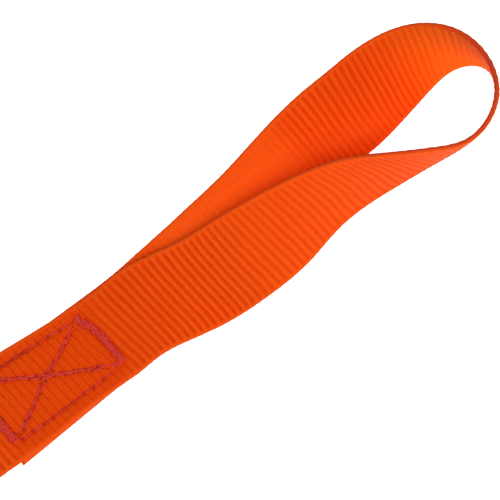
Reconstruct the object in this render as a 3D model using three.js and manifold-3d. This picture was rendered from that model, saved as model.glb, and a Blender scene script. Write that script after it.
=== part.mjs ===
// Flat webbing sling with a sewn eye at each end, in millimetres, +Z up.
// One strap of ribbed woven webbing lies on the ground along X. At each end it
// is folded back on itself: the fold is the eye, and the cut tail is laid under
// the strap and sewn down with a box, a cross and two bar tacks.
// The eyes have fallen on their sides, so each one stands on its lower selvedge
// while the strap between the eyes lies flat.
// The two ends are the same shape, turned half a turn about Z from each other.
// Origin: middle of the strap's length and width, at the level it lies on.
import * as THREE from 'three';
import { mergeVertices } from 'three/addons/utils/BufferGeometryUtils.js';
import Module from 'manifold-3d';

const wasm = await Module();
wasm.setup();

// ---- driving dimensions ----
const OVERALL = 457;          // eye nose to eye nose
const WIDTH = 25;             // webbing width in the eyes and where it is sewn
const SPREAD_UP = 1.1;        // how far each edge spreads again past the sewing,
const SPREAD_LOW = 2.1;       // where the webbing lies flat and free
const THICK = 1.3;            // webbing thickness
const EYE_LENGTH = 123.3;     // sewn end of the eye to the outside of its nose
const TAIL_LENGTH = 38.2;     // sewn overlap
const PLY_GAP = 0.2;          // space left between the two sewn plies
const CUT_GAP = 0.3;          // space left where the strap is parted at a fold line
const RAMP_END = -38.6;       // strap is up on the tail from here ...
const RAMP_START = -49.5;     // ... and down on the ground from here
const FOLD_OUT = -51;         // fold line between the strap and the sewn part
const FOLD_IN = 3;            // fold line between the sewn part and the eye
const TAIL_SKEW = 4;          // degrees the tail lies out of line with the strap
const TAIL_Y = 0.9;           // tail's centre line at the sewn end
const TAIL_SPREAD = 1.1;      // how far each edge of the tail spreads at its cut end
const STITCH = 3.45;          // stitch length
const SEAM_WIDTH = 0.9;       // thread line of a straight seam
const CROSS_WIDTH = 1.4;      // thread line of the cross, sewn twice
const TACK_WIDTH = 2.5;       // zigzag width of a bar tack
const TACK_PITCH = 1.25;      // zigzag pitch of a bar tack
const BED = 0.45;             // depth the thread is bedded into the webbing
const PROUD = 0.22;           // height the thread stands above the webbing
const CLEAR = 0.12;           // side clearance of a thread in its bed

const Z_TAIL = THICK / 2;                    // middle of the tail ply
const Z_TOP = THICK + PLY_GAP + THICK / 2;   // middle of the upper ply
const EYE_X = OVERALL / 2 - EYE_LENGTH;      // sewn end of the eye

// Route of the eye's two selvedges as uniform cubic B-splines, from the upper
// ply, round the nose and back to the tail. Origin at the eye's sewn end.
const EDGE_UP = [
  [-9.13, 13.17, 4.54], [1.18, 12.16, 0.92], [10.67, 13.24, 4.76], [20.2, 11.56, 7.35], [29.61, 8.92, 9.94],
  [38.77, 8.01, 13.8], [48.13, 6.54, 17.22], [58.04, 5.25, 19.2], [67.44, 2.86, 22.12], [76.83, -0.26, 24.69],
  [86.4, -6.34, 25.48], [95.81, -11.41, 25.37], [104.18, -15.58, 24.47], [113.95, -12.74, 24.57], [120.92, -4.21, 25.96],
  [120.19, 10.56, 24.7], [110.56, 20.27, 21.96], [100.04, 23.03, 19.63], [92.53, 22.63, 20.97], [84.67, 22.21, 18.87],
  [75.55, 22.47, 15.66], [65.65, 20.51, 15.21], [56.24, 18.49, 13.61], [46.93, 16.54, 12.2], [37.4, 15.81, 9.68],
  [27.8, 14.97, 6.57], [18.21, 14.35, 3.92], [8.95, 13.7, 0.95], [-1.03, 13.35, 0.58], [-10.67, 12.56, 0.9],
];
const EDGE_LOW = [
  [-10.78, -10.85, 2.39], [-1.04, -13.24, 1.93], [8.67, -11.23, 2.93], [18.23, -12.91, 2.33], [27.92, -14.19, -0.15],
  [36.96, -15.26, 4.39], [46.8, -14.82, 4.04], [56.01, -12.98, 1.07], [66.27, -9.3, 0.69], [76.78, -8.56, 0.81],
  [86.44, -9.07, 0.72], [96.26, -9.34, 0.3], [106.6, -10.43, 0.28], [115.75, -8.51, -0.15], [122.62, -2.81, 1.28],
  [123.84, 4.9, 0.03], [115.9, 9.57, 0.28], [105.75, 6.99, 1.12], [94.9, 3.32, 4.73], [84.91, 1.3, 4.38],
  [77.72, 2.14, 1.68], [67.39, -0.61, 2.27], [57.91, -4.14, 2.54], [48.37, -6.56, 2.99], [39.08, -7.99, 2.15],
  [29.83, -9.43, 1.24], [20.1, -10.29, 0.76], [10.07, -11.44, 0.7], [0.27, -11.21, 0.71], [-9.51, -12.57, 0.48],
];
const SPANS = EDGE_UP.length - 3;
const NOSE_START = 9.6;       // spline parameters where the nose is parted
const NOSE_END = 17.2;        // from the eye's two legs

// ---- solids ----
const v3 = (p) => new THREE.Vector3(p[0], p[1], p[2]);

function toSolid(geometry) {
  const g = geometry.clone();
  for (const k of Object.keys(g.attributes)) if (k !== 'position') g.deleteAttribute(k);
  const m = mergeVertices(g, 1e-4);
  const pos = new Float32Array(m.attributes.position.array);
  let tri = new Uint32Array(m.index.array);
  let vol = 0;
  const a = new THREE.Vector3(), b = new THREE.Vector3(), c = new THREE.Vector3();
  for (let i = 0; i < tri.length; i += 3) {
    a.fromArray(pos, 3 * tri[i]); b.fromArray(pos, 3 * tri[i + 1]); c.fromArray(pos, 3 * tri[i + 2]);
    vol += a.dot(b.cross(c));
  }
  if (vol < 0) for (let i = 0; i < tri.length; i += 3) { const t = tri[i]; tri[i] = tri[i + 1]; tri[i + 1] = t; }
  return new wasm.Manifold(new wasm.Mesh({ numProp: 3, vertProperties: pos, triVerts: tri }));
}

function toGeometry(solid) {
  const m = solid.getMesh();
  const g = new THREE.BufferGeometry();
  g.setAttribute('position', new THREE.Float32BufferAttribute(Float32Array.from(m.vertProperties), 3));
  g.setIndex(Array.from(m.triVerts));
  g.computeVertexNormals();
  return g;
}

// Closed solid through a list of sections with the same number of points.
function loft(sections) {
  const n = sections[0].length, pos = [], idx = [];
  for (const s of sections) for (const p of s) pos.push(p.x, p.y, p.z);
  for (let i = 0; i + 1 < sections.length; i++)
    for (let j = 0; j < n; j++) {
      const a = i * n + j, b = i * n + (j + 1) % n, c = a + n, d = b + n;
      idx.push(a, b, d, a, d, c);
    }
  for (const end of [0, sections.length - 1]) {
    const mid = new THREE.Vector3();
    for (const p of sections[end]) mid.addScaledVector(p, 1 / n);
    const k = pos.length / 3, o = end * n;
    pos.push(mid.x, mid.y, mid.z);
    for (let j = 0; j < n; j++) {
      const a = o + j, b = o + (j + 1) % n;
      if (end === 0) idx.push(k, b, a); else idx.push(k, a, b);
    }
  }
  const g = new THREE.BufferGeometry();
  g.setAttribute('position', new THREE.Float32BufferAttribute(pos, 3));
  g.setIndex(idx);
  return g;
}

const box = (x0, x1, y0, y1, z0, z1) => {
  const g = new THREE.BoxGeometry(x1 - x0, y1 - y0, z1 - z0);
  g.translate((x0 + x1) / 2, (y0 + y1) / 2, (z0 + z1) / 2);
  return toSolid(g);
};

// ---- webbing ----
// Section of the webbing: flat faces with slightly rounded selvedges,
// as [position across the width, height above the middle].
const HW = WIDTH / 2, HT = THICK / 2;
const SECTION = [
  [-HW + 0.35, HT], [-HW / 2, HT], [0, HT], [HW / 2, HT], [HW - 0.35, HT], [HW, HT * 0.4],
  [HW, -HT * 0.4], [HW - 0.35, -HT], [HW / 2, -HT], [0, -HT], [-HW / 2, -HT], [-HW + 0.35, -HT],
  [-HW, -HT * 0.4], [-HW, HT * 0.4],
];
// A station is { up, low, n }: the two selvedges and the face normal.
const webbing = (stations) => toSolid(loft(stations.map(({ up, low, n }) => SECTION.map(([v, h]) =>
  low.clone().lerp(up, (v + HW) / WIDTH).addScaledVector(n, h)))));

function spline(points, t) {
  const i = Math.min(Math.floor(t), points.length - 4), f = t - i, g = 1 - f;
  const w = [g * g * g, 3 * f * f * f - 6 * f * f + 4, -3 * f * f * f + 3 * f * f + 3 * f + 1, f * f * f];
  const p = new THREE.Vector3();
  for (let k = 0; k < 4; k++) p.addScaledVector(v3(points[i + k]), w[k] / 6);
  return p;
}
function eyeStation(t) {
  const up = spline(EDGE_UP, t), low = spline(EDGE_LOW, t);
  const a = Math.max(0, t - 0.01), b = Math.min(SPANS, t + 0.01);
  const along = spline(EDGE_UP, b).add(spline(EDGE_LOW, b)).sub(spline(EDGE_UP, a)).sub(spline(EDGE_LOW, a));
  return { up, low, n: along.cross(up.clone().sub(low)).normalize() };
}
const range = (a, b, n) => Array.from({ length: n + 1 }, (_, i) => a + (b - a) * i / n);
const smooth = (f) => { const g = Math.min(1, Math.max(0, f)); return g * g * (3 - 2 * g); };
const flatStation = (x, y, z, slope = 0, skew = 0, wider = 0) => {
  const s = Math.sin(skew), c = Math.cos(skew), w = HW + wider;
  return {
    up: new THREE.Vector3(x - s * w, y + c * w, z),
    low: new THREE.Vector3(x + s * w, y - c * w, z),
    n: new THREE.Vector3(-Math.sin(slope), 0, Math.cos(slope)),
  };
};

// The strap spreads as it leaves the sewing, a little more on one side.
const spread = (x) => {
  const up = SPREAD_UP * smooth((-6 - x) / 30), low = SPREAD_LOW * smooth((-6 - x) / 32);
  return { y: (up - low) / 2, wider: (up + low) / 2 };
};
const plyStation = (x, z, slope = 0) => flatStation(x, spread(x).y, z, slope, 0, spread(x).wider);

// Upper ply of the sewn part: up from the ground, over the tail and into the eye.
const ramp = (x) => Z_TAIL + (Z_TOP - Z_TAIL) * smooth((x - RAMP_START) / (RAMP_END - RAMP_START));
const upperStations = [
  ...[FOLD_OUT + CUT_GAP / 2, ...range(RAMP_START, RAMP_END, 7), -34, -30, -25, -20, -15, -10, -3].map((x) =>
    plyStation(x, ramp(x), Math.atan((ramp(x + 0.05) - ramp(x - 0.05)) / 0.1))),
  ...[0.25, 0.5, 0.75].map(eyeStation),
];
const skew = THREE.MathUtils.degToRad(TAIL_SKEW);
const tailStations = [
  ...[1, 0.68, 0.36, 0.04].map((x) => flatStation(-TAIL_LENGTH * x, TAIL_Y - TAIL_LENGTH * x * Math.tan(skew), Z_TAIL, 0, skew, TAIL_SPREAD * x)),
  ...[0.25, 0.5, 0.75].map((t) => { const s = eyeStation(SPANS - t); s.n.negate(); return s; }),
];
const beyondFold = box(FOLD_IN - CUT_GAP / 2, 60, -30, 30, -10, 40);
const beforeFold = box(-60, FOLD_IN + CUT_GAP / 2, -30, 30, -10, 40);
let upperPly = webbing(upperStations).subtract(beyondFold);
let tailPly = webbing(tailStations).subtract(beyondFold);

// The eye: upper leg, nose and lower leg of one run of webbing.
const eyeRun = (a, b, n) => webbing(range(a, b, n).map(eyeStation));
const half = CUT_GAP / 2 / 9.8;
const eyeUpper = eyeRun(0.1, NOSE_START - half, 24).subtract(beforeFold);
const eyeNose = eyeRun(NOSE_START + half, NOSE_END - half, 28);
const eyeLower = eyeRun(NOSE_END + half, SPANS - 0.1, 24).subtract(beforeFold);

// ---- sewing ----
// Thread line along a path in plan, as a low bar whose top rises in the middle
// of each stitch and dips where the thread goes through the webbing.
function seamBar(path, width, zBed, zTop, rise) {
  const line = new THREE.CurvePath();
  for (let i = 0; i + 1 < path.length; i++)
    line.add(new THREE.LineCurve3(new THREE.Vector3(...path[i], 0), new THREE.Vector3(...path[i + 1], 0)));
  const total = line.getLength(), n = Math.max(1, Math.round(total / STITCH));
  const out = [];
  for (let i = 0; i <= 2 * n; i++) {
    const u = i / (2 * n), p = line.getPointAt(u), t = line.getTangentAt(Math.min(u, 0.999));
    const side = new THREE.Vector3(-t.y, t.x, 0), top = i % 2 ? zTop + rise : zTop;
    out.push([[-1, zBed], [1, zBed], [0.55, top], [-0.55, top]].map(([s, z]) =>
      p.clone().addScaledVector(side, s * width / 2).setZ(z)));
  }
  return toSolid(loft(out));
}
// Plain bar used to cut the bed of a seam.
function bedBar(path, width, z0, z1) {
  const out = [];
  path.forEach((q, i) => {
    const a = path[Math.max(0, i - 1)], b = path[Math.min(path.length - 1, i + 1)];
    const t = new THREE.Vector3(b[0] - a[0], b[1] - a[1], 0).normalize();
    const side = new THREE.Vector3(-t.y, t.x, 0), p = new THREE.Vector3(q[0], q[1], 0);
    if (i === 0) p.addScaledVector(t, -0.15);
    if (i === path.length - 1) p.addScaledVector(t, 0.15);
    out.push([[-1, z0], [1, z0], [1, z1], [-1, z1]].map(([s, z]) => p.clone().addScaledVector(side, s * width / 2).setZ(z)));
  });
  return toSolid(loft(out));
}
// Bar tack: a dense zigzag of thread, as a bar with a toothed outline.
function tackBar(path, width, pitch, z0, z1, grow = 0) {
  const curve = new THREE.CatmullRomCurve3(path.map((p) => new THREE.Vector3(...p, 0)));
  const n = Math.round(curve.getLength() / pitch) * 2;
  const left = [], right = [];
  for (let i = 0; i <= n; i++) {
    const p = curve.getPointAt(i / n), t = curve.getTangentAt(i / n);
    if (i === 0) p.addScaledVector(t, -grow);
    if (i === n) p.addScaledVector(t, grow);
    const r = width / 2 + grow, tooth = grow ? 0 : 0.32;
    left.push([p.x - t.y * (r - (i % 2 ? tooth : 0)), p.y + t.x * (r - (i % 2 ? tooth : 0))]);
    right.push([p.x + t.y * (r - (i % 2 ? 0 : tooth)), p.y - t.x * (r - (i % 2 ? 0 : tooth))]);
  }
  const shape = new THREE.Shape([...left, ...right.reverse()].map(([x, y]) => new THREE.Vector2(x, y)));
  const g = new THREE.ExtrudeGeometry(shape, { depth: z1 - z0, bevelEnabled: false });
  g.translate(0, 0, z0);
  return toSolid(g);
}

// Sewing plan, seen from above: two side seams, a cross, and a bar tack at each end.
const SEAM_PATHS = {
  lower_side_seam: [[-33.3, -9.75], [-20, -9.1], [-3.9, -8.35]],
  upper_side_seam: [[-33.3, 10.0], [-20, 9.55], [-6.7, 9.0]],
};
const CROSS_PATHS = [
  [[-33.2, 8.5], [-19.3, 0.8], [-3.7, -6.6]],
  [[-33.2, -8.3], [-19.3, 0.8], [-6.2, 7.5]],
];
const TACK_PATHS = {
  inner_bar_tack: [[-4.8, 9.4], [-2.3, 4.5], [-1, -1.2], [-0.4, -7.4]],
  outer_bar_tack: [[-36.1, 9.9], [-36.5, 3], [-36.2, -3.4], [-34.9, -9.3]],
};

function sewing(zFace, side) {
  // side is 1 on the upper face and -1 on the underside of the tail
  const zBed = zFace - side * (BED - 0.06), zTop = side > 0 ? zFace : zFace + 0.1;
  const rise = side > 0 ? PROUD : -0.06;
  const low = Math.min(zFace - side * BED, zFace + side), high = Math.max(zFace - side * BED, zFace + side);
  const threads = {}, beds = [];
  for (const [name, path] of Object.entries(SEAM_PATHS)) {
    threads[name] = seamBar(path, SEAM_WIDTH, zBed, zTop, rise);
    beds.push(bedBar(path, SEAM_WIDTH + 2 * CLEAR, low, high));
  }
  const [a, b] = CROSS_PATHS.map((p) => seamBar(p, CROSS_WIDTH, zBed, zTop, rise * 1.1));
  threads.cross_seam = a.add(b);
  for (const p of CROSS_PATHS) beds.push(bedBar(p, CROSS_WIDTH + 2 * CLEAR, low, high));
  for (const [name, path] of Object.entries(TACK_PATHS)) {
    const z = [zBed, zTop + rise * 1.2];
    threads[name] = tackBar(path, TACK_WIDTH, TACK_PITCH, Math.min(...z), Math.max(...z));
    beds.push(tackBar(path, TACK_WIDTH, 4, low, high, CLEAR));
  }
  return { threads, beds };
}
const needle = sewing(Z_TOP + HT, 1);
const bobbin = sewing(0, -1);
for (const b of needle.beds) upperPly = upperPly.subtract(b);
for (const b of bobbin.beds) tailPly = tailPly.subtract(b);

// ---- leg: the single run of webbing between the two sewn parts ----
const legHalf = EYE_X + FOLD_OUT - CUT_GAP / 2;
const leg = webbing(range(-legHalf, legHalf, 6).map((x) =>
  flatStation(x, spread(FOLD_OUT).y * x / legHalf, Z_TAIL, 0, 0, spread(FOLD_OUT).wider)));

// ---- materials ----
const webColour = (name, hex, rough) => Object.assign(
  new THREE.MeshStandardMaterial({ color: hex, roughness: rough, metalness: 0 }), { name });
const MATERIALS = {
  webbing: ['orange_webbing', 0xe8501a, 0.78],
  needle: ['crimson_needle_thread', 0xc8322a, 0.6],
  bobbin: ['crimson_bobbin_thread', 0xbe2e28, 0.65],
};

const sling = new THREE.Group();
sling.name = 'flat_webbing_sling';
function put(group, name, solid, kind) {
  const mesh = new THREE.Mesh(toGeometry(solid), webColour(...MATERIALS[kind]));
  mesh.name = name;
  group.add(mesh);
}
put(sling, 'leg_webbing', leg, 'webbing');
for (const [tag, turn] of [['a', 0], ['b', Math.PI]]) {
  const end = new THREE.Group();
  end.rotation.z = turn;
  const placed = new THREE.Group();
  placed.position.x = EYE_X;
  end.add(placed);
  put(placed, `upper_ply_${tag}`, upperPly, 'webbing');
  put(placed, `tail_ply_${tag}`, tailPly, 'webbing');
  put(placed, `eye_upper_leg_${tag}`, eyeUpper, 'webbing');
  put(placed, `eye_nose_${tag}`, eyeNose, 'webbing');
  put(placed, `eye_lower_leg_${tag}`, eyeLower, 'webbing');
  for (const [name, s] of Object.entries(needle.threads)) put(placed, `needle_${name}_${tag}`, s, 'needle');
  for (const [name, s] of Object.entries(bobbin.threads)) put(placed, `bobbin_${name}_${tag}`, s, 'bobbin');
  sling.add(end);
}

export default sling;
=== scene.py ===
# Flat webbing sling with sewn eyes: the looks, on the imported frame.
import math
import bpy
import numpy as np
from mathutils import Matrix, Vector


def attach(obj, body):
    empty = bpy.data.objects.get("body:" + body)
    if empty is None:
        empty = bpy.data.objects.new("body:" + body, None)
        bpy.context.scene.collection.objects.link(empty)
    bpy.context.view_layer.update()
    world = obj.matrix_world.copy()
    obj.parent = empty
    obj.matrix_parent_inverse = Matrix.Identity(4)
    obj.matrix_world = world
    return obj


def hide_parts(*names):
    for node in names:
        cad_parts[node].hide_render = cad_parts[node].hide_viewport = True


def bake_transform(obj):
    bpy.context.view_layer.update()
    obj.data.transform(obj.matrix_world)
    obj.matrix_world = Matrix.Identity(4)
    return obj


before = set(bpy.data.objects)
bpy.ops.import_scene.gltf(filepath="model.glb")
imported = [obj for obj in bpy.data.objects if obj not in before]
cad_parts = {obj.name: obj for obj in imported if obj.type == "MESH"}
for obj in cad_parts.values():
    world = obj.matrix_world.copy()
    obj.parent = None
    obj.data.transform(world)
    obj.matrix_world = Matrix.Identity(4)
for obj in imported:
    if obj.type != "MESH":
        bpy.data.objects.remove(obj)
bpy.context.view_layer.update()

MM = 0.001

# ---- the frame's numbers, in millimetres, as in the CAD ----
WIDTH, THICK = 25.0, 1.3
OVERALL, EYE_LENGTH, TAIL_LENGTH = 457.0, 123.3, 38.2
PLY_GAP = 0.2
RAMP_START, RAMP_END = -49.5, -38.6
FOLD_OUT, FOLD_IN = -51.0, 3.0
TAIL_SKEW, TAIL_Y = math.radians(4.0), 0.9
HW, HT = WIDTH / 2, THICK / 2
Z_TAIL, Z_TOP = HT, THICK + PLY_GAP + HT
EYE_X = OVERALL / 2 - EYE_LENGTH

EDGE_UP = np.array([
    [-9.13, 13.17, 4.54], [1.18, 12.16, 0.92], [10.67, 13.24, 4.76], [20.2, 11.56, 7.35],
    [29.61, 8.92, 9.94], [38.77, 8.01, 13.8], [48.13, 6.54, 17.22], [58.04, 5.25, 19.2],
    [67.44, 2.86, 22.12], [76.83, -0.26, 24.69], [86.4, -6.34, 25.48], [95.81, -11.41, 25.37],
    [104.18, -15.58, 24.47], [113.95, -12.74, 24.57], [120.92, -4.21, 25.96], [120.19, 10.56, 24.7],
    [110.56, 20.27, 21.96], [100.04, 23.03, 19.63], [92.53, 22.63, 20.97], [84.67, 22.21, 18.87],
    [75.55, 22.47, 15.66], [65.65, 20.51, 15.21], [56.24, 18.49, 13.61], [46.93, 16.54, 12.2],
    [37.4, 15.81, 9.68], [27.8, 14.97, 6.57], [18.21, 14.35, 3.92], [8.95, 13.7, 0.95],
    [-1.03, 13.35, 0.58], [-10.67, 12.56, 0.9]])
EDGE_LOW = np.array([
    [-10.78, -10.85, 2.39], [-1.04, -13.24, 1.93], [8.67, -11.23, 2.93], [18.23, -12.91, 2.33],
    [27.92, -14.19, -0.15], [36.96, -15.26, 4.39], [46.8, -14.82, 4.04], [56.01, -12.98, 1.07],
    [66.27, -9.3, 0.69], [76.78, -8.56, 0.81], [86.44, -9.07, 0.72], [96.26, -9.34, 0.3],
    [106.6, -10.43, 0.28], [115.75, -8.51, -0.15], [122.62, -2.81, 1.28], [123.84, 4.9, 0.03],
    [115.9, 9.57, 0.28], [105.75, 6.99, 1.12], [94.9, 3.32, 4.73], [84.91, 1.3, 4.38],
    [77.72, 2.14, 1.68], [67.39, -0.61, 2.27], [57.91, -4.14, 2.54], [48.37, -6.56, 2.99],
    [39.08, -7.99, 2.15], [29.83, -9.43, 1.24], [20.1, -10.29, 0.76], [10.07, -11.44, 0.7],
    [0.27, -11.21, 0.71], [-9.51, -12.57, 0.48]])
SPANS = len(EDGE_UP) - 3

SIDE_SEAMS = {
    "lower_side_seam": [(-33.3, -9.75), (-20, -9.1), (-3.9, -8.35)],
    "upper_side_seam": [(-33.3, 10.0), (-20, 9.55), (-6.7, 9.0)],
}
CROSS = [
    [(-33.2, 8.5), (-19.3, 0.8), (-3.7, -6.6)],
    [(-33.2, -8.3), (-19.3, 0.8), (-6.2, 7.5)],
]
TACKS = {
    "inner_bar_tack": [(-4.8, 9.4), (-2.3, 4.5), (-1.0, -1.2), (-0.4, -7.4)],
    "outer_bar_tack": [(-36.1, 9.9), (-36.5, 3.0), (-36.2, -3.4), (-34.9, -9.3)],
}
STITCH = 3.45
TACK_WIDTH = 2.6

# ---- the camera ----
ELEV = math.radians(78.0)
ROLL = math.radians(34.0)
AIM = Vector((43.71 + EYE_X, -1.6, 2.0)) * MM
DIST = 0.5
VIEW_WIDTH = 500 / 3.8 * MM
back = Vector((0, -math.cos(ELEV), math.sin(ELEV)))
flat_right = Vector((1, 0, 0))
flat_up = Vector((0, math.sin(ELEV), math.cos(ELEV)))
right = flat_right * math.cos(ROLL) - flat_up * math.sin(ROLL)
up = flat_right * math.sin(ROLL) + flat_up * math.cos(ROLL)
cam_data = bpy.data.cameras.new("camera")
cam_data.sensor_width = 36
cam_data.lens = 36 * DIST / VIEW_WIDTH
cam_data.clip_start = 0.01
cam = bpy.data.objects.new("camera", cam_data)
m = Matrix((right, up, back)).transposed().to_4x4()
m.translation = AIM + back * DIST
cam.matrix_world = m
bpy.context.scene.collection.objects.link(cam)
bpy.context.scene.camera = cam


# ---- smooth repeatable noise ----
def noise1(x, seed, size=512):
    table = np.random.default_rng(seed).uniform(-1, 1, size)
    i = np.floor(x).astype(int)
    f = x - i
    f = f * f * (3 - 2 * f)
    return table[i % size] * (1 - f) + table[(i + 1) % size] * f


def noise2(x, y, seed, size=256):
    table = np.random.default_rng(seed).uniform(-1, 1, (size, size))
    i, j = np.floor(x).astype(int), np.floor(y).astype(int)
    f, g = x - i, y - j
    f, g = f * f * (3 - 2 * f), g * g * (3 - 2 * g)
    a = table[i % size, j % size] * (1 - f) + table[(i + 1) % size, j % size] * f
    b = table[i % size, (j + 1) % size] * (1 - f) + table[(i + 1) % size, (j + 1) % size] * f
    return a * (1 - g) + b * g


def smooth(x):
    x = np.clip(x, 0, 1)
    return x * x * (3 - 2 * x)


# ---- the strap's route ----
def bspline(points, t):
    t = np.asarray(t, float)
    i = np.clip(np.floor(t).astype(int), 0, len(points) - 4)
    f = (t - i)[:, None]
    g = 1 - f
    return (g**3 * points[i] + (3 * f**3 - 6 * f**2 + 4) * points[i + 1]
            + (-3 * f**3 + 3 * f**2 + 3 * f + 1) * points[i + 2] + f**3 * points[i + 3]) / 6


def ramp(x):
    return Z_TAIL + (Z_TOP - Z_TAIL) * smooth((x - RAMP_START) / (RAMP_END - RAMP_START))


def spread(x):
    """Offset of the strap's centre line and the growth of its half width, past the sewing."""
    up_, low = 1.1 * smooth((-6 - x) / 30), 2.1 * smooth((-6 - x) / 32)
    return (up_ - low) / 2, (up_ + low) / 2


def route():
    """Both selvedges and the face normal of the whole strap of end a, every 0.2 mm, from the middle of the leg to the cut end of the tail."""
    x = np.arange(-EYE_X, -4.0, 0.4)
    off, wider = spread(x)
    off = off * np.clip((x + EYE_X) / (EYE_X + FOLD_OUT), 0, 1)
    up_, low = [np.c_[x, off + HW + wider, ramp(x)]], [np.c_[x, off - HW - wider, ramp(x)]]
    t = np.linspace(0.25, SPANS - 0.3, 900)
    up_.append(bspline(EDGE_UP, t)), low.append(bspline(EDGE_LOW, t))
    x = np.arange(-5.0, -TAIL_LENGTH - 0.01, -0.4)
    cy = TAIL_Y + x * math.tan(TAIL_SKEW)
    s, c = math.sin(TAIL_SKEW), math.cos(TAIL_SKEW)
    w = HW - 1.1 * x / TAIL_LENGTH
    up_.append(np.c_[x - s * w, cy + c * w, 0 * x + Z_TAIL])
    low.append(np.c_[x + s * w, cy - c * w, 0 * x + Z_TAIL])
    up_, low = np.concatenate(up_), np.concatenate(low)
    mid = (up_ + low) / 2
    run = np.r_[0, np.cumsum(np.linalg.norm(np.diff(mid, axis=0), axis=1))]
    step = 0.2
    n = int(run[-1] / step)
    at = np.linspace(0, run[-1], n + 1)
    kernel = np.exp(-0.5 * (np.arange(-12, 13) / 5.0) ** 2)
    kernel /= kernel.sum()

    def even(p):
        q = np.stack([np.interp(at, run, p[:, k]) for k in range(3)], 1)
        e = np.concatenate([2 * q[0] - q[12:0:-1], q, 2 * q[-1] - q[-2:-14:-1]])
        return np.stack([np.convolve(e[:, k], kernel, "valid") for k in range(3)], 1)

    up_, low = even(up_), even(low)
    mid = (up_ + low) / 2
    along = np.gradient(mid, axis=0)
    normal = np.cross(along, up_ - low)
    normal /= np.linalg.norm(normal, axis=1)[:, None]
    run = np.r_[0, np.cumsum(np.linalg.norm(np.diff(mid, axis=0), axis=1))]
    up_[:, 0] += EYE_X
    low[:, 0] += EYE_X
    return run, up_, low, normal


RUN, UP, LOW, NORMAL = route()
S_SEW = np.interp(EYE_X, UP[: len(UP) // 2, 0] / 2 + LOW[: len(LOW) // 2, 0] / 2, RUN[: len(RUN) // 2])
S_END = RUN[-1]
S_BACK = S_END - TAIL_LENGTH
L = RUN - S_SEW                      # distance past the eye's sewn end
EYE_RUN = S_BACK - S_SEW
print("strap half length", round(S_END, 1), "eye run", round(EYE_RUN, 1))

# rib spacing, lean and height along the strap
knots = np.array([-S_SEW, -60, -36, -2, 8, 45, 80, 110, 150, 200, EYE_RUN, EYE_RUN + TAIL_LENGTH])
pitch = np.interp(L, knots, [2.05, 2.05, 2.08, 2.08, 2.0, 2.05, 2.0, 1.92, 1.84, 1.86, 2.0, 2.05])
# lean of the ribs (shift along the strap per millimetre of width) near the lower selvedge, in the middle and near the upper one
LEAN = np.array([
    [-S_SEW, 0, 0, 0], [-60, -0.05, -0.05, -0.05], [-40, -0.20, -0.19, -0.18], [-24, -0.18, -0.18, -0.22],
    [-8, -0.24, -0.21, -0.20], [4, -0.34, -0.32, -0.29], [14, -0.27, -0.28, -0.23], [24, -0.20, -0.23, -0.16],
    [34, -0.22, -0.24, -0.17], [44, -0.23, -0.25, -0.22], [54, -0.22, -0.27, -0.32], [64, -0.18, -0.25, -0.39],
    [74, -0.21, -0.22, -0.46], [84, -0.29, -0.28, -0.70], [94, -0.32, -0.40, -0.68], [106, -0.18, -0.22, -0.30],
    [122, -0.12, -0.12, -0.10], [144, -0.28, -0.22, -0.20], [154, -0.30, -0.29, -0.26], [164, -0.10, -0.18, -0.14],
    [174, 0.11, 0.01, -0.06], [184, 0.03, 0.01, 0.06], [204, 0.08, 0.07, 0.09], [224, 0.08, 0.07, 0.09],
    [244, 0.08, 0.09, 0.06], [EYE_RUN + TAIL_LENGTH, 0.05, 0.05, 0.05]])
lean_low, lean, lean_up = (np.interp(L, LEAN[:, 0], LEAN[:, k]) for k in (1, 2, 3))
box_run = np.ones(41) / 41
lean_low, lean, lean_up = (np.convolve(np.pad(q, 20, "edge"), box_run, "valid") for q in (lean_low, lean, lean_up))
flatten = np.interp(L, [-40, -36, -2, 3, EYE_RUN - 3, EYE_RUN + 2], [1, 0.55, 0.5, 1, 1, 0.55])
PHASE = np.r_[0, np.cumsum(np.diff(RUN) / pitch[1:])]


def plan_distance(x, y, path):
    best = np.full(x.shape, 1e9)
    for (ax, ay), (bx, by) in zip(path[:-1], path[1:]):
        dx, dy = bx - ax, by - ay
        u = np.clip(((x - ax) * dx + (y - ay) * dy) / (dx * dx + dy * dy), 0, 1)
        best = np.minimum(best, np.hypot(x - ax - u * dx, y - ay - u * dy))
    return best


# ---- sewing plan: every stitch as two points on the face ----
def resample(path, spacing, odd=0.0):
    p = np.array(path, float)
    run = np.r_[0, np.cumsum(np.hypot(*np.diff(p, axis=0).T))]
    n = max(1, round(run[-1] / spacing))
    at = (np.arange(n + 1) + odd) * run[-1] / n
    at = at[at <= run[-1] + 1e-6]
    return np.stack([np.interp(at, run, p[:, k]) for k in range(2)], 1)


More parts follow.
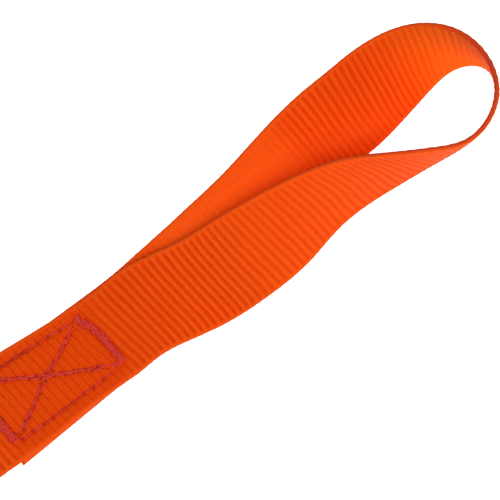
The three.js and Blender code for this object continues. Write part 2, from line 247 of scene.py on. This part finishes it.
def sewing_plan(seed):
    """Stitches of each row: (start x, y, end x, y, thread radius, height of the stitch's middle above the face)."""
    rng = np.random.default_rng(seed)
    rows = {}
    for name, path in SIDE_SEAMS.items():
        q = resample(path, STITCH)
        q[1:-1] += rng.normal(0, 0.10, q[1:-1].shape)
        tight = (lambda x: 0.24 * smooth((-17 - x) / 3)) if name == "upper_side_seam" else (lambda x: 0.06 + 0.12 * math.exp(-(((x + 20) / 6) ** 2)))
        rows[name] = [(*a, *b, 0.24, -0.16 - tight((a[0] + b[0]) / 2) + rng.normal(0, 0.03)) for a, b in zip(q[:-1], q[1:])]
    out = []
    for path in CROSS:
        d = np.array(path[-1]) - np.array(path[0])
        side = np.array([-d[1], d[0]]) / np.hypot(*d)
        for k, off in ((0.0, 0.40), (0.42, -0.40)):
            q = resample(path, STITCH, k)
            sway = off * np.cos(np.arange(len(q)) * 1.3 + k)[:, None] * 0.5 + off * 0.65
            q = q + side * sway + rng.normal(0, 0.13, q.shape)
            out += [(*a, *b, 0.27, 0.02 + rng.normal(0, 0.05)) for a, b in zip(q[:-1], q[1:])]
    rows["cross_seam"] = out
    for name, path in TACKS.items():
        p = np.array(path)
        f = np.linspace(0, 1, 40)
        c0 = np.stack([np.polyval(np.polyfit([0, 1 / 3, 2 / 3, 1], p[:, j], 3), f) for j in range(2)], 1)
        run = np.r_[0, np.cumsum(np.hypot(*np.diff(c0, axis=0).T))]
        rows[name] = []
        for k, lift in ((33, 0.02), (19, 0.14)):
            at = np.clip(np.linspace(0, run[-1], k + 1) + rng.normal(0, 0.10, k + 1), 0, run[-1])
            c = np.stack([np.interp(at, run, c0[:, j]) for j in range(2)], 1)
            t = np.gradient(np.stack([np.interp(np.linspace(0, run[-1], k + 1), run, c0[:, j]) for j in range(2)], 1), axis=0)
            t /= np.hypot(*t.T)[:, None]
            side = np.c_[-t[:, 1], t[:, 0]] * np.where(np.arange(k + 1) % 2, 1, -1)[:, None]
            q = c + side * (TACK_WIDTH / 2 - 0.1) * rng.uniform(0.60, 1.12, (k + 1, 1)) + rng.normal(0, 0.16, c.shape)
            rows[name] += [(*a, *b, 0.27, lift + 0.10 * rng.random()) for a, b in zip(q[:-1], q[1:])]
    hook = np.array([(0.3, -6.3), (-1.3, -8.3), (-1.0, -6.8), (-2.6, -7.9), (-2.4, -6.4), (-3.9, -7.2)])
    hook += rng.normal(0, 0.12, hook.shape)
    rows["inner_bar_tack"] += [(*a, *b, 0.26, 0.05 + 0.06 * rng.random()) for a, b in zip(hook[:-1], hook[1:])]
    return rows


def bed(x, y, rows):
    """Depth pulled in by the sewing and the painted shade in the needle holes and the sunk seam's groove, at points x,
    y of a sewn face.
    """
    dip, hole_shade = np.zeros(x.shape), np.zeros(x.shape)
    near = (x > -42) & (x < 5)
    px, py = x[near], y[near]
    d = np.full(px.shape, 1e9)
    for path in [*SIDE_SEAMS.values(), *CROSS]:
        d = np.minimum(d, plan_distance(px, py, path))
    ends = np.full(px.shape, 1e9)
    for q in rows["upper_side_seam"]:
        ends = np.minimum(ends, (px - q[0]) ** 2 + (py - q[1]) ** 2)
    groove = (1 - 0.8 * np.exp(-ends / 0.6**2)) * np.exp(-((plan_distance(px, py, SIDE_SEAMS["upper_side_seam"]) / 0.42) ** 2)) * smooth((-17 - px) / 3)
    dt = np.full(px.shape, 1e9)
    for path in TACKS.values():
        dt = np.minimum(dt, plan_distance(px, py, path))
    dip_near = 0.24 * np.exp(-((d / 0.55) ** 2)) + 0.12 * np.exp(-((d / 2.0) ** 2))
    dip_near = np.maximum(dip_near, 0.30 * (1 - smooth((dt - 0.8) / 1.5)))
    hole_shade_near = np.zeros(px.shape)
    for name, stitches in rows.items():
        tack = "tack" in name
        for q in stitches:
            r2 = (px - q[0]) ** 2 + (py - q[1]) ** 2
            if not tack:
                dip_near += 0.20 * np.exp(-r2 / 0.32**2)
            hole_shade_near = np.maximum(hole_shade_near, np.exp(-r2 / (0.36**2 if tack else 0.62**2)) * (0.7 if tack else 1.0))
    dip_near += 0.16 * groove
    # painted shade fills the groove of the sunk upper seam
    hole_shade_near = np.maximum(hole_shade_near, 0.75 * groove)
    dip[near], hole_shade[near] = np.minimum(dip_near, 0.62), hole_shade_near
    return dip, hole_shade


# ---- mesh helpers ----
def new_mesh(name, verts, faces, attributes=None, uvs=None):
    me = bpy.data.meshes.new(name)
    me.vertices.add(len(verts))
    me.vertices.foreach_set("co", np.asarray(verts, np.float32).ravel())
    sizes = np.fromiter((len(f) for f in faces), int) if isinstance(faces, list) else np.full(len(faces), faces.shape[1])
    loops = np.concatenate([np.asarray(f, np.int32) for f in faces]) if isinstance(faces, list) else faces.astype(np.int32).ravel()
    me.loops.add(len(loops))
    me.loops.foreach_set("vertex_index", loops)
    me.polygons.add(len(sizes))
    me.polygons.foreach_set("loop_start", np.r_[0, np.cumsum(sizes)[:-1]].astype(np.int32))
    me.polygons.foreach_set("use_smooth", np.ones(len(sizes), bool))
    me.update(calc_edges=True)
    me.validate()
    if uvs is not None:
        layer = me.uv_layers.new(name="UVMap")
        layer.data.foreach_set("uv", np.asarray(uvs, np.float32)[loops].ravel())
    for key, values in (attributes or {}).items():
        a = me.attributes.new(key, "FLOAT", "POINT")
        a.data.foreach_set("value", np.asarray(values, np.float32))
    obj = bpy.data.objects.new(name, me)
    bpy.context.scene.collection.objects.link(obj)
    return obj


ARC = np.radians([64, 36, 12, -12, -36, -64])


def section(nv):
    """Section of the strap: place across the width, side of the face (1 upper, -1 lower) and closeness to a selvedge."""
    flat = np.linspace(-HW + 0.62, HW - 0.62, nv)
    v = np.concatenate([flat, HW - 0.62 + 0.62 * np.cos(ARC), flat[::-1], -HW + 0.62 - 0.62 * np.cos(ARC[::-1])])
    h = np.concatenate([np.ones(nv), np.sin(ARC), -np.ones(nv), np.sin(ARC[::-1])])
    e = np.concatenate([np.zeros(nv), np.cos(ARC), np.zeros(nv), -np.cos(ARC[::-1])])
    return v, h, e


def webbing(name, s0, s1, turn, rows, seed, nv):
    """The strap from s0 to s1 of its run, as a ribbed closed solid."""
    sec_v, sec_h, sec_e = section(nv)
    k = np.where((RUN >= s0 - 1e-6) & (RUN <= s1 + 1e-6))[0]
    s, ups, lows, nrm = RUN[k][:, None], UP[k], LOW[k], NORMAL[k]
    v, hs, es = sec_v[None], sec_h[None], sec_e[None]
    wide = ups - lows
    wide /= np.linalg.norm(wide, axis=1)[:, None]
    flat_k, mid_k = flatten[k][:, None], lean[k][:, None]
    lean_1 = (lean_up[k] - lean_low[k])[:, None] / 17
    lean_2 = ((lean_up[k] + lean_low[k])[:, None] / 2 - mid_k) / 8.5**2
    # rib phase: leaning and slightly bowed, with small irregularities that fade out at the middle of the leg
    fade = smooth(s / 12)
    wob = fade * (0.09 * noise2(s / 9, v / 8 + 40, seed) + 0.05 * noise2(s / 3.1, v / 4 + 40, seed + 1))
    ph = PHASE[k][:, None] - (mid_k * v + lean_1 * v**2 / 2 + lean_2 * v**3 / 3) / pitch[k][:, None] + wob
    f = ph - np.floor(ph)
    rib_no = np.floor(ph)
    flatness = np.clip(2 * (1 - flat_k), 0, 1)             # 1 where the sewing has flattened the ribs
    flat_leg = 0.6 * (smooth((s - S_SEW - 188) / 12) - smooth((s - S_SEW - 234) / 14))     # ribs pulled flat by the twist of the returning leg
    # the leg that leaves the sewing has bold ribs first, then calmer ones
    calm = flat_leg + 0.30 * (smooth((s - S_SEW - 38) / 9) - smooth((s - S_SEW - 76) / 14)) - 0.28 * (smooth((s - S_SEW - 5) / 7) - smooth((s - S_SEW - 31) / 9))
    crest = (0.5 - 0.5 * np.cos(2 * math.pi * f)) ** 0.9 - (0.04 + 0.86 * flatness) * np.exp(-(((f - 0.5) / (0.07 + 0.05 * flatness)) ** 2))
    height = (1 - calm) * (0.36 - 0.24 * flatness) * (1 + 0.25 * noise1(rib_no.ravel() * 0.73 + 7, seed + 2).reshape(rib_no.shape) * fade)
    # ribs fade near the selvedges, where the edge yarns bind them
    valley = (1 - crest) * height * (1 - 0.80 * smooth((np.abs(v) - 10.8) / 1.3))
    # yarn bundles across the width, staggered from rib to rib
    bundle = 0.016 * np.cos(2 * math.pi * (v / 0.92 + 0.5 * (rib_no % 2))) * (0.4 + 0.6 * crest)
    x = (lows[:, None, :] + (ups - lows)[:, None, :] * ((v + HW) / WIDTH)[..., None])
    dip, hole_shade = np.zeros(ph.shape), np.zeros(ph.shape)
    sewn = ((s < S_SEW + 6) & (s > S_SEW - 45)) | (s > S_BACK - 6)
    sewn = np.broadcast_to(sewn, ph.shape) & (np.broadcast_to(hs, ph.shape) > 0.99)
    d_, h_ = bed(x[..., 0][sewn] - EYE_X, x[..., 1][sewn], rows)
    dip[sewn], hole_shade[sewn] = d_, h_
    tail_face = sewn & np.broadcast_to(s > S_BACK - 6, ph.shape)
    dip[tail_face] = np.minimum(dip[tail_face] * 1.2, 0.55)
    # sealed cut end
    melt = smooth((s - (S_END - 1.6)) / 1.4) * (0.8 + 0.5 * noise2(v * 0.8 + 60, s * 0 + 3, seed + 5)) if s1 > S_END - 1 else 0 * ph
    melt = np.clip(melt * np.ones(ph.shape), 0, 1)
    half = (HT + 0.04 - valley * (1 - 0.8 * melt) + bundle * (1 - melt)) - dip
    half = half + melt * 0.10 * noise2(v * 1.1 + 9, s * 1.3 + 5, seed + 6) - 0.25 * smooth((s - (S_END - 0.5)) / 0.5) * (s1 > S_END - 1)
    half = np.where(np.abs(hs) < 0.99, HT + 0.02 - valley * 0.8, half)
    scallop = (0.05 * crest - 0.03 + 0.03 * noise1((rib_no * 1.31 + 3).ravel(), seed + 3).reshape(ph.shape)) * es * (1 - 0.45 * flatness)
    ragged = melt * 0.35 * noise2(v * 0.9 + 20, s * 0 + 8, seed + 7)
    along = np.gradient((ups + lows) / 2, axis=0)
    along /= np.linalg.norm(along, axis=1)[:, None]
    pos = x + nrm[:, None, :] * (half * hs)[..., None] + wide[:, None, :] * scallop[..., None] + along[:, None, :] * ragged[..., None]
    pos[..., 2] = np.maximum(pos[..., 2], 0.0)
    n, mpts = ph.shape
    verts = pos.reshape(-1, 3) * MM
    i, j = np.meshgrid(np.arange(n - 1), np.arange(mpts), indexing="ij")
    a = i * mpts + j
    b = i * mpts + (j + 1) % mpts
    quads = np.stack([a, a + mpts, b + mpts, b], -1).reshape(-1, 4)
    # end caps: strips between the two faces, and the rounded selvedges
    caps = []
    for base, flip in ((0, False), ((n - 1) * mpts, True)):
        top, bottom = list(range(nv)), list(range(2 * nv + 5, nv + 5, -1))
        loop_r, loop_l = list(range(nv - 1, nv + 7)), [2 * nv + 5] + list(range(2 * nv + 6, 2 * nv + 12)) + [0]
        for q in range(nv - 1):
            c = [top[q], top[q + 1], bottom[q + 1], bottom[q]]
            caps.append([base + z for z in (c[::-1] if flip else c)])
        for lp in (loop_r, loop_l):
            caps.append([base + z for z in (lp[::-1] if flip else lp)])
    if turn:
        verts = verts * np.array([-1, -1, 1])
    # painted shade darkens the rim all over round the nose, elsewhere only along its outer corner
    nose_rim_band = np.exp(-(((s - S_SEW - 127) / 13) ** 2))
    rim = smooth((np.abs(es) - 0.25) / 0.6) * (nose_rim_band + (1 - nose_rim_band) * (0.22 + 0.78 * smooth((hs * np.sign(s - S_SEW - 131) + 0.1) / 0.7)))
    rim = np.maximum(rim, 0.6 * smooth((np.abs(es) - 0.7) / 0.25))
    rim_painted_shade = np.maximum((0.05 + 0.50 * nose_rim_band) * smooth((np.abs(v) - 11.7) / 0.5), rim)
    inner = np.broadcast_to(hs, ph.shape) < -0.9
    # painted light: a paler band on the inner face beside the other leg's edge, in place of the shadow that leg casts
    beside = np.exp(-(((v + 4 - (s - S_SEW - 185) / 3.3) / 4) ** 2)) * smooth((s - S_SEW - 160) / 12) * (1 - smooth((s - S_SEW - 228) / 12))
    # painted light: the inner face of the nose is paler, as if lit there
    nose_painted_light = np.exp(-(((s - S_SEW - EYE_RUN * 0.52) / 15) ** 2)) * inner
    # even: painted light on the returning leg's inner face, where the ribs are pulled flat and beside the other leg
    even = np.clip(flat_leg + 0.5 * beside, 0, 0.9) * inner
    bound = 0.85 * smooth((np.abs(v) - 11.1) / 0.8)          # smooth edge yarns outside the ribs
    # painted shade: the rib grooves are coloured darker and the crests lighter, less so where the ribs are calm
    painted_rib_shade = np.clip(np.clip(crest, 0, 1) * (1 - calm) + 0.6 * calm, 0, 1) * (1 - bound) + 0.92 * bound
    uv = np.stack([np.broadcast_to(s, ph.shape), np.broadcast_to(v, ph.shape)], -1).reshape(-1, 2) / 100
    o = new_mesh(name, verts, quads.tolist() + caps,
                    {"crest": painted_rib_shade.ravel(), "selvedge": rim_painted_shade.ravel(), "nose_painted_light": nose_painted_light.ravel(), "even": even.ravel(),
                     "hole_shade": hole_shade.ravel(), "dip": np.clip(dip / 0.4, 0, 1).ravel(), "melt": melt.ravel()}, uv)
    # the ends are cut square: their rings are sharp, so that two pieces meet without a crease
    ends = np.empty(2 * len(o.data.edges), dtype=np.int32)
    o.data.edges.foreach_get("vertices", ends)
    ring_a, ring_b = ends[0::2] // mpts, ends[1::2] // mpts
    step = np.abs(ends[0::2] - ends[1::2])
    sharp = (ring_a == ring_b) & ((ring_a == 0) | (ring_a == n - 1)) & ((step == 1) | (step == mpts - 1))
    o.data.attributes.new("sharp_edge", "BOOLEAN", "EDGE").data.foreach_set("value", sharp)
    return o


def thread_row(name, stitches, turn, under, seed):
    """A row of stitches, each of three twisted strands that dive into the webbing at both ends."""
    rng = np.random.default_rng(seed)
    verts, faces, strand_at, sunk_painted_shade, uvs = [], [], [], [], []
    steps, sides, base = 13, 6, 0
    ring = np.arange(sides) * 2 * math.pi / sides
    for ax, ay, bx, by, radius, rise in stitches:
        a, b = np.array([ax, ay]), np.array([bx, by])
        length = np.hypot(*(b - a))
        u = np.linspace(0, 1, steps)
        d = (b - a) / max(length, 1e-6)
        side = np.array([-d[1], d[0]])
        bulge = rng.normal(0, 0.09) * np.sin(math.pi * u)
        plan = a + np.outer(u, b - a) + np.outer(bulge, side)
        arch = np.sin(math.pi * u) ** (0.5 if under else 0.62)
        if under:
            z = (0.03 + radius) + 0.40 * (1 - arch) + 0.10 * rng.random()
        else:
            z = Z_TOP + HT - 0.42 + (0.42 + rise) * arch
        core = np.c_[plan, z]
        sign = -1 if under else 1
        along = np.gradient(core, axis=0)
        along /= np.linalg.norm(along, axis=1)[:, None]
        nx = np.c_[np.full(steps, side[0]), np.full(steps, side[1]), np.zeros(steps)]
        ny = np.cross(along, nx)
        turn0 = rng.uniform(0, 2 * math.pi)
        shade = rng.random() ** 1.3
        thick = radius * (0.93 + 0.07 * np.sin(math.pi * u)) * rng.uniform(0.94, 1.05)
        for k in range(3):
            ang = turn0 + k * 2 * math.pi / 3 + 2 * math.pi * u * length / 2.3
            off = thick * 0.50
            centre = core + nx * (off * np.cos(ang))[:, None] + ny * (off * np.sin(ang))[:, None] * (0.9 if under else 1)
            r = (thick * 0.54)[:, None, None]
            tube = centre[:, None, :] + r * (nx[:, None, :] * np.cos(ring)[None, :, None] + ny[:, None, :] * np.sin(ring)[None, :, None])
            if under:
                tube[..., 2] = np.maximum(tube[..., 2], 0.012)
            verts.append(tube.reshape(-1, 3))
            uvs.append(np.stack(np.meshgrid(u * length, ring * thick.mean(), indexing="ij"), -1).reshape(-1, 2) / 100)
            i, j = np.meshgrid(np.arange(steps - 1), np.arange(sides), indexing="ij")
            p = base + i * sides + j
            q = base + i * sides + (j + 1) % sides
            faces.append(np.stack([p, q, q + sides, p + sides], -1).reshape(-1, 4))
            strand_at.append(np.full(steps * sides, 0.35 * rng.random() + 0.65 * shade))
            deep = 0.0 if under else float(np.clip((-rise - 0.25) / 0.12, 0, 1))
            # painted shade on the stitch ends that dive into the webbing, and along the whole of a stitch sunk deep in
            # its groove
            sunk_painted_shade.append(np.repeat((1 - deep) * (1 - arch) + deep * np.clip(1.6 * np.sin(math.pi * u), 0, 1), sides))
            for e, flip in ((base, True), (base + (steps - 1) * sides, False)):
                o = [e + z for z in range(sides)]
                o = o[::-1] if flip else o
                faces.append(np.array([[o[0], o[1], o[2], o[3]], [o[0], o[3], o[4], o[5]]]))
            base += steps * sides
    verts = np.concatenate(verts)
    verts[:, 0] += EYE_X
    verts *= MM
    if turn:
        verts = verts * np.array([-1, -1, 1])
    return new_mesh(name, verts, np.concatenate(faces), {"strand": np.concatenate(strand_at), "sunk_painted_shade": np.concatenate(sunk_painted_shade)}, np.concatenate(uvs))


# ---- materials ----
def srgb(r, g, b):
    f = lambda c: c / 12.92 if c <= 0.04045 else ((c + 0.055) / 1.055) ** 2.4
    return (f(r / 255), f(g / 255), f(b / 255), 1)


class Nodes:
    def __init__(self, name):
        self.mat = bpy.data.materials.new(name)
        self.mat.use_nodes = True
        self.tree = self.mat.node_tree
        self.bsdf = self.tree.nodes["Principled BSDF"]

    def add(self, kind, **props):
        n = self.tree.nodes.new(kind)
        for k, v in props.items():
            setattr(n, k, v)
        return n

    def link(self, a, b):
        self.tree.links.new(a, b)

    def attr(self, name):
        return self.add("ShaderNodeAttribute", attribute_name=name).outputs["Fac"]

    def math(self, op, a, b=None, clamp=False):
        n = self.add("ShaderNodeMath", operation=op, use_clamp=clamp)
        for i, x in enumerate((a, b)):
            if x is None:
                continue
            if isinstance(x, (int, float)):
                n.inputs[i].default_value = x
            else:
                self.link(x, n.inputs[i])
        return n.outputs[0]

    def mix(self, fac, a, b, mode="MIX"):
        n = self.add("ShaderNodeMix", data_type="RGBA", blend_type=mode)
        for sock, x in ((n.inputs[0], fac), (n.inputs[6], a), (n.inputs[7], b)):
            if isinstance(x, (int, float)):
                sock.default_value = x
            elif isinstance(x, tuple):
                sock.default_value = x
            else:
                self.link(x, sock)
        return n.outputs[2]

    def range(self, x, a, b, c, d):
        n = self.add("ShaderNodeMapRange")
        for i, v in enumerate((a, b, c, d)):
            n.inputs[i + 1].default_value = v
        self.link(x, n.inputs[0])
        return n.outputs[0]

    def uv(self, sx, sy):
        n = self.add("ShaderNodeMapping")
        n.inputs["Scale"].default_value = (sx, sy, 1)
        self.link(self.add("ShaderNodeUVMap", uv_map="UVMap").outputs[0], n.inputs[0])
        return n.outputs[0]

    def noise(self, vec, scale, detail=2.0, rough=0.5):
        n = self.add("ShaderNodeTexNoise")
        n.inputs["Scale"].default_value = scale
        n.inputs["Detail"].default_value = detail
        n.inputs["Roughness"].default_value = rough
        self.link(vec, n.inputs["Vector"])
        return n.outputs["Fac"]


def webbing_material():
    n = Nodes("ribbed_webbing")
    crest, edge, hole_shade, dip, melt, nose_painted_light, even = (n.attr(k) for k in ("crest", "selvedge", "hole_shade", "dip", "melt", "nose_painted_light", "even"))
    # uv is in units of 100 mm: x along the strap, y across it
    yarns = n.noise(n.uv(70, 430), 1.0, 3.0, 0.6)          # warp yarns, fine across and long along
    patches = n.noise(n.uv(3, 5), 1.0, 2.0, 0.5)           # slow dye variation
    weft = n.noise(n.uv(330, 26), 1.0, 2.0, 0.5)
    # painted shade: darker colour in the rib grooves, lighter on the crests
    col = n.mix(n.range(crest, 0.0, 1.0, 0.0, 1.0), srgb(220, 50, 2), srgb(252, 92, 20))
    col = n.mix(n.range(yarns, 0.38, 0.68, 0.0, 0.34), col, srgb(254, 106, 28))
    col = n.mix(n.range(weft, 0.3, 0.7, 0.0, 0.22), col, srgb(228, 56, 2))
    col = n.mix(n.range(patches, 0.3, 0.7, 0.0, 0.22), col, srgb(240, 66, 4))
    # painted light on the returning leg's inner face, lifting the shade cast by the other leg
    col = n.mix(even, col, srgb(255, 90, 22))
    # painted light on the inner face of the nose
    col = n.mix(n.math("MULTIPLY", nose_painted_light, 0.8), col, srgb(255, 130, 26))
    # painted shade where the sewing pulls the face in
    col = n.mix(n.math("MULTIPLY", dip, 0.30), col, srgb(206, 38, 6))
    # painted shade along the rims of the selvedges
    col = n.mix(n.math("MULTIPLY", edge, 0.70), col, srgb(178, 56, 42))
    # painted shade in the needle holes and the sunk seam's groove
    col = n.mix(n.math("MULTIPLY", hole_shade, 0.62), col, srgb(156, 18, 8))
    col = n.mix(n.math("MULTIPLY", melt, 0.7), col, srgb(150, 38, 14))
    n.link(col, n.bsdf.inputs["Base Color"])
    n.link(n.range(melt, 0, 1, 0.62, 0.35), n.bsdf.inputs["Roughness"])
    n.bsdf.inputs["Specular IOR Level"].default_value = 0.02
    n.bsdf.inputs["Specular Tint"].default_value = (1.0, 0.6, 0.3, 1)
    n.bsdf.inputs["Sheen Weight"].default_value = 0.08
    n.bsdf.inputs["Sheen Roughness"].default_value = 0.45
    n.bsdf.inputs["Sheen Tint"].default_value = (1.0, 0.44, 0.08, 1)
    # filament relief
    h = n.math("ADD", yarns, n.math("MULTIPLY", n.noise(n.uv(240, 900), 1.0, 2.0, 0.6), 0.45))
    bump = n.add("ShaderNodeBump")
    bump.inputs["Strength"].default_value = 0.6
    bump.inputs["Distance"].default_value = 0.0001
    n.link(h, bump.inputs["Height"])
    n.link(bump.outputs[0], n.bsdf.inputs["Normal"])
    return n.mat


def thread_material(name, light, dark, deep):
    n = Nodes(name)
    strand, sunk_painted_shade = n.attr("strand"), n.attr("sunk_painted_shade")
    fibre = n.noise(n.uv(180, 1600), 1.0, 2.0, 0.6)
    col = n.mix(n.range(fibre, 0.3, 0.7, 0.0, 1.0), dark, light)
    col = n.mix(n.math("MULTIPLY", strand, 0.75), col, dark)
    # painted shade where the thread sinks into the webbing
    col = n.mix(n.range(sunk_painted_shade, 0.25, 0.9, 0.0, 0.75), col, deep)
    n.link(col, n.bsdf.inputs["Base Color"])
    n.bsdf.inputs["Roughness"].default_value = 0.45
    n.bsdf.inputs["Specular IOR Level"].default_value = 0.25
    n.bsdf.inputs["Sheen Weight"].default_value = 0.08
    n.bsdf.inputs["Sheen Roughness"].default_value = 0.4
    n.bsdf.inputs["Sheen Tint"].default_value = (1.0, 0.65, 0.6, 1)
    bump = n.add("ShaderNodeBump")
    bump.inputs["Strength"].default_value = 0.5
    bump.inputs["Distance"].default_value = 0.00005
    n.link(fibre, bump.inputs["Height"])
    n.link(bump.outputs[0], n.bsdf.inputs["Normal"])
    return n.mat


WEB = webbing_material()
NEEDLE = thread_material("needle_thread", srgb(248, 88, 68), srgb(214, 44, 36), srgb(168, 20, 14))
BOBBIN = thread_material("bobbin_thread", srgb(232, 82, 72), srgb(202, 46, 38), srgb(150, 20, 14))

# ---- the pieces ----
def at_run(s):
    return float(RUN[np.abs(RUN - s).argmin()])


S_SPLIT = at_run(S_SEW - 36.2)      # the strap is parted under the sewing, where no join shows
S_TACK = at_run(S_SEW - 1.8)
S_TURN = at_run(S_BACK + 2.0)
for turn, e in ((False, "a"), (True, "b")):
    rows = sewing_plan(23 if turn else 11)
    strap = webbing(f"strap_{e}", 0.0, S_SPLIT, turn, rows, 3, 43)
    ply = webbing(f"sewn_upper_ply_{e}", S_SPLIT, S_TACK, turn, rows, 3, 99)
    eye = webbing(f"eye_webbing_{e}", S_TACK, S_TURN, turn, rows, 3, 29)
    tail = webbing(f"sewn_tail_{e}", S_TURN, S_END, turn, rows, 3, 99)
    for o in (strap, ply, eye, tail):
        o.data.materials.append(WEB)
    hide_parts("leg_webbing")
    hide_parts(f"upper_ply_{e}")
    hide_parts(f"eye_upper_leg_{e}", f"eye_nose_{e}", f"eye_lower_leg_{e}")
    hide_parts(f"tail_ply_{e}")
    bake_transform(strap)
    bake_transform(eye)
    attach(ply, f"splice_{e}")
    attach(tail, f"splice_{e}")
    for i, (name, stitches) in enumerate(rows.items()):
        for kind, mat, under in (("needle", NEEDLE, False), ("bobbin", BOBBIN, True)):
            t = thread_row(f"{kind}_{name}_stitches_{e}", stitches, turn, under, 100 + i + (50 if under else 0) + (7 if turn else 0))
            t.data.materials.append(mat)
            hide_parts(f"{kind}_{name}_{e}")
            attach(t, f"splice_{e}")

# ---- floor and light ----
floor_mesh = bpy.data.meshes.new("floor")
floor_mesh.from_pydata([(-3, -3, -0.0001), (3, -3, -0.0001), (3, 3, -0.0001), (-3, 3, -0.0001)], [], [(0, 1, 2, 3)])
floor = bpy.data.objects.new("floor", floor_mesh)
bpy.context.scene.collection.objects.link(floor)
fm = bpy.data.materials.new("floor")
fm.use_nodes = True
fb = fm.node_tree.nodes["Principled BSDF"]
fb.inputs["Base Color"].default_value = (0.9, 0.9, 0.9, 1)
fb.inputs["Emission Color"].default_value = (1, 1, 1, 1)
fb.inputs["Emission Strength"].default_value = 0.95
fb.inputs["Roughness"].default_value = 0.9
fb.inputs["Specular IOR Level"].default_value = 0.1
floor_mesh.materials.append(fm)


def area_light(name, direction, distance, size, power, colour=(1, 1, 1)):
    data = bpy.data.lights.new(name, "AREA")
    data.shape = "SQUARE"
    data.size = size
    data.energy = power
    data.color = colour
    o = bpy.data.objects.new(name, data)
    d = Vector(direction).normalized()
    o.location = AIM + d * distance
    o.rotation_euler = d.to_track_quat("Z", "Y").to_euler()
    bpy.context.scene.collection.objects.link(o)


area_light("key", (0.0, -0.45, 0.9), 1.4, 0.9, 10.0)
area_light("top", (0.0, -0.15, 1.0), 1.4, 0.9, 8.5)
world = bpy.data.worlds.new("studio")
world.use_nodes = True
world.node_tree.nodes["Background"].inputs[0].default_value = (1, 1, 1, 1)
world.node_tree.nodes["Background"].inputs[1].default_value = 0.06
bpy.context.scene.world = world
bpy.context.scene.view_settings.view_transform = "Standard"
